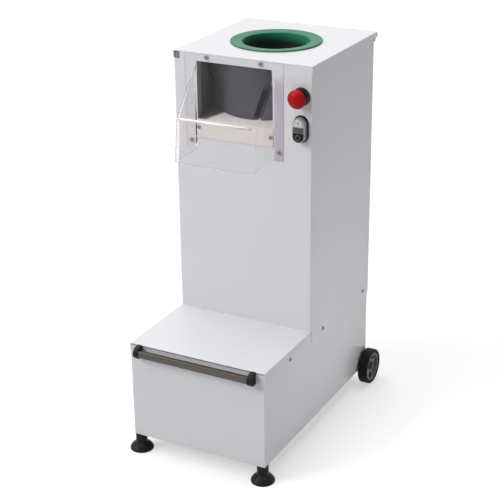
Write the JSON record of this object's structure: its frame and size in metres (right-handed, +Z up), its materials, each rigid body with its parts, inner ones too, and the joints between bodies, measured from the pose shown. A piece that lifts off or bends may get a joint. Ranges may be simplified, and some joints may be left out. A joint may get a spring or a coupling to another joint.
{
  "type": "dough rounder",
  "caption": "Upright dough rounder: funnel-fed hollow auger in a cylinder, clear discharge hood, step base for a container, push-button controls, handle, levelling feet and rear wheels.",
  "frame": {"origin": "on the floor, under the middle of the bounding box", "axes": "+Z up, -Y towards the front with the step and the hood, +X to the right side of the machine as seen from the front"},
  "size_m": [0.3744, 0.582, 0.8513],
  "materials": {
    "white_paint": "satin powder coat",
    "plain_steel": "plain",
    "dark_steel": "dark satin",
    "screw_steel": "plain",
    "green_plastic": "moulded",
    "slate_coating": "non-stick coating",
    "cream_plastic": "moulded",
    "clear_sheet": "clear",
    "gear_grey": "cast",
    "black_plastic": "moulded",
    "black_rubber": "matte",
    "grey_plastic": "moulded",
    "red_plastic": "gloss",
    "silver_plastic": "satin",
    "white_plastic": "gloss",
    "olive_lens": "tinted",
    "bar_steel": "brushed along the bar"
  },
  "bodies": {
    "cabinet": {"left_side_panel": "white_paint", "right_side_panel": "white_paint", "column_front_panel": "white_paint", "base_front_panel": "white_paint", "base_top_cover": "white_paint", "upper_rear_panel": "white_paint", "lower_rear_panel": "white_paint", "bottom_pan": "plain_steel", "deck_plate": "plain_steel", "hinge_fixed_leaf": "dark_steel", "hinge_pin": "plain_steel", "lid_catch": "dark_steel", "rounding_cylinder": "slate_coating", "cylinder_base": "slate_coating", "shaft_seal": "black_rubber", "shaft_bearings": "plain_steel", "gearbox_housing": "gear_grey", "motor_frame": "gear_grey", "motor_fan_cowl": "black_plastic", "motor_terminal_box": "black_plastic", "control_box": "grey_plastic", "control_box_cover": "grey_plastic", "cable_gland": "black_plastic", "discharge_tray": "cream_plastic", "guide_plates": "slate_coating", "outlet_hood": "clear_sheet", "estop_body": "black_plastic", "estop_contact_block": "grey_plastic", "switch_rim": "black_plastic", "switch_bezel": "silver_plastic", "pilot_lens": "olive_lens", "switch_contact_block": "grey_plastic", "handle_bar": "bar_steel", "handle_mounts": "black_plastic", "foot_bushes": "plain_steel", "wheel_axle": "plain_steel", "axle_brackets": "dark_steel", "axle_caps": "black_plastic", "outlet_screws": "screw_steel", "panel_screws": "screw_steel", "drive_bolts": "plain_steel", "chassis_bolts": "plain_steel"},
    "auger": {"auger_tube": "slate_coating", "auger_flight": "slate_coating", "drive_shaft": "plain_steel", "drive_key": "plain_steel"},
    "motor_rotor": {"motor_fan": "black_plastic"},
    "lid": {"top_lid": "white_paint", "hinge_moving_leaf": "dark_steel"},
    "funnel": {"feed_funnel": "green_plastic"},
    "estop_stem": {"estop_plunger": "black_plastic"},
    "estop_cap": {"estop_head": "red_plastic"},
    "start_key": {"start_button": "white_plastic"},
    "stop_key": {"stop_button": "black_plastic"},
    "left_levelling_foot": {"left_foot": "black_plastic"},
    "right_levelling_foot": {"right_foot": "black_plastic"},
    "left_wheel": {"left_wheel_hub": "grey_plastic", "left_wheel_tyre": "black_rubber"},
    "right_wheel": {"right_wheel_hub": "grey_plastic", "right_wheel_tyre": "black_rubber"}
  },
  "joints": [
    {"name": "auger_turn", "type": "hinge", "parent": "cabinet", "child": "auger", "pos_m": [0, 0.109, 0.3], "axis": [0, 0, -1], "continuous": true},
    {"name": "motor_turn", "type": "hinge", "parent": "cabinet", "child": "motor_rotor", "pos_m": [0.048, -0.06, 0.182], "axis": [0, -1, 0], "continuous": true},
    {"name": "lid_hinge", "type": "hinge", "parent": "cabinet", "child": "lid", "pos_m": [0, 0.2762, 0.8314], "axis": [-1, 0, 0], "range_deg": [0, 100]},
    {"name": "funnel_lift", "type": "slide", "parent": "lid", "child": "funnel", "axis": [0, 0, 1], "range_m": [0, 0.09]},
    {"name": "estop_press", "type": "slide", "parent": "cabinet", "child": "estop_stem", "axis": [0, 1, 0], "range_m": [0, 0.005], "stiffness_N_per_m": 1500},
    {"name": "estop_twist", "type": "hinge", "parent": "estop_stem", "child": "estop_cap", "pos_m": [0.137, -0.075, 0.783], "axis": [0, 1, 0], "range_deg": [0, 45], "stiffness_Nm_per_rad": 0.15},
    {"name": "start_press", "type": "slide", "parent": "cabinet", "child": "start_key", "axis": [0, 1, 0], "range_m": [0, 0.0035], "stiffness_N_per_m": 700},
    {"name": "stop_press", "type": "slide", "parent": "cabinet", "child": "stop_key", "axis": [0, 1, 0], "range_m": [0, 0.0035], "stiffness_N_per_m": 700},
    {"name": "left_foot_adjust", "type": "slide", "parent": "cabinet", "child": "left_levelling_foot", "axis": [0, 0, -1], "range_m": [0, 0.015]},
    {"name": "right_foot_adjust", "type": "slide", "parent": "cabinet", "child": "right_levelling_foot", "axis": [0, 0, -1], "range_m": [0, 0.015]},
    {"name": "left_wheel_roll", "type": "hinge", "parent": "cabinet", "child": "left_wheel", "pos_m": [-0.175, 0.249, 0.042], "axis": [1, 0, 0], "continuous": true},
    {"name": "right_wheel_roll", "type": "hinge", "parent": "cabinet", "child": "right_wheel", "pos_m": [0.175, 0.249, 0.042], "axis": [1, 0, 0], "continuous": true}
  ],
  "couplings": [
    {"joint": "motor_turn", "follows": "auger_turn", "ratio": 20}
  ]
}
